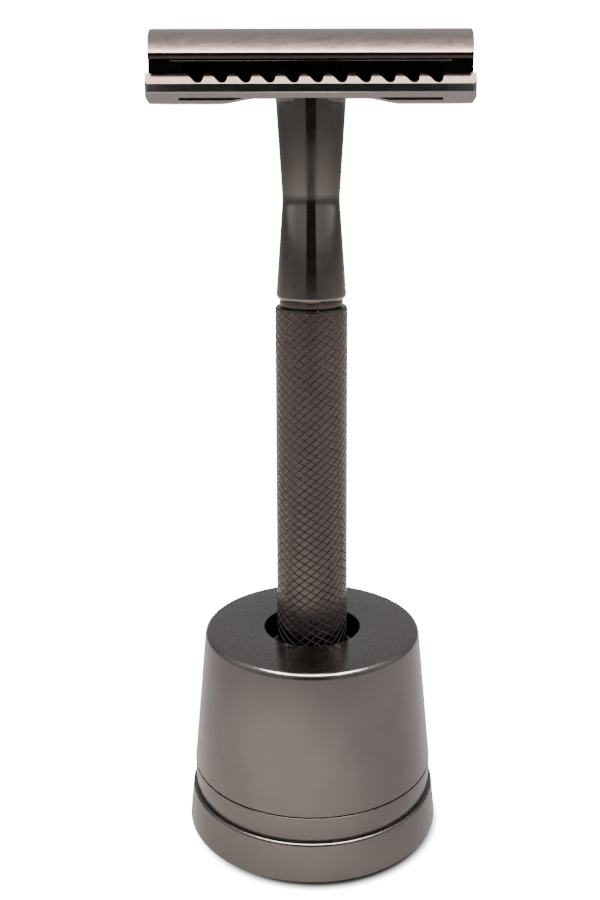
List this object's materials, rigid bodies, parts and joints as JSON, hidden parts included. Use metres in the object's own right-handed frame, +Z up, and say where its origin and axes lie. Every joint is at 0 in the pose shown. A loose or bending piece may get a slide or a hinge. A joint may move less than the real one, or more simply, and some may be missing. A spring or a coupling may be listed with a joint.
{
  "type": "razor and stand set",
  "caption": "Double-edge safety razor with a domed cap, scalloped guard, waisted neck and knurled grip, standing in a weighted tapered stand with a stepped foot ring.",
  "frame": {"origin": "centre of the stand's underside, on the surface it stands on", "axes": "+Z up along the handle, +X along the razor head, the razor's front edge towards -Y"},
  "size_m": [0.0448, 0.038, 0.1192],
  "materials": {
    "gunmetal": "satin gunmetal",
    "knurled": "knurled, dark gunmetal",
    "brass": "machined",
    "iron": "raw",
    "steel": "bright",
    "black_plastic": "matte",
    "rubber": "matte"
  },
  "bodies": {
    "stand": {"stand_body": "gunmetal", "base_band": "gunmetal", "base_ring": "gunmetal", "ballast": "iron", "socket_liner": "black_plastic", "foot_pad": "rubber", "base_screw_1": "steel", "base_screw_2": "steel", "base_screw_3": "steel"},
    "loose_pad": {"socket_pad": "rubber"},
    "handle": {"handle_grip": "knurled", "grip_end_plug": "gunmetal", "collar_ring": "gunmetal", "joining_stud": "steel", "handle_neck": "gunmetal", "neck_insert": "brass"},
    "plate": {"base_plate": "gunmetal"},
    "blade": {"blade": "steel"},
    "cap": {"top_cap": "gunmetal", "cap_stud": "gunmetal", "cap_pin_left": "gunmetal", "cap_pin_right": "gunmetal"}
  },
  "joints": [
    {"name": "razor_spin", "type": "hinge", "parent": "stand", "child": "loose_pad", "pos_m": [0, 0, 0.0076], "axis": [0, 0, 1], "continuous": true},
    {"name": "razor_lift", "type": "slide", "parent": "loose_pad", "child": "handle", "axis": [0, 0, 1], "range_m": [0, 0.03]},
    {"name": "head_unscrew", "type": "hinge", "parent": "handle", "child": "plate", "pos_m": [0, 0, 0.11], "axis": [0, 0, 1], "range_deg": [0, 2530]},
    {"name": "cap_rise", "type": "slide", "parent": "plate", "child": "cap", "axis": [0, 0, 1], "range_m": [0, 0.0056]},
    {"name": "blade_rise", "type": "slide", "parent": "plate", "child": "blade", "axis": [0, 0, 1], "range_m": [0, 0.0029]}
  ],
  "couplings": [
    {"joint": "head_unscrew", "follows": "cap_rise", "rad_per_m": 7854},
    {"joint": "blade_rise", "follows": "cap_rise", "ratio": 0.5}
  ]
}
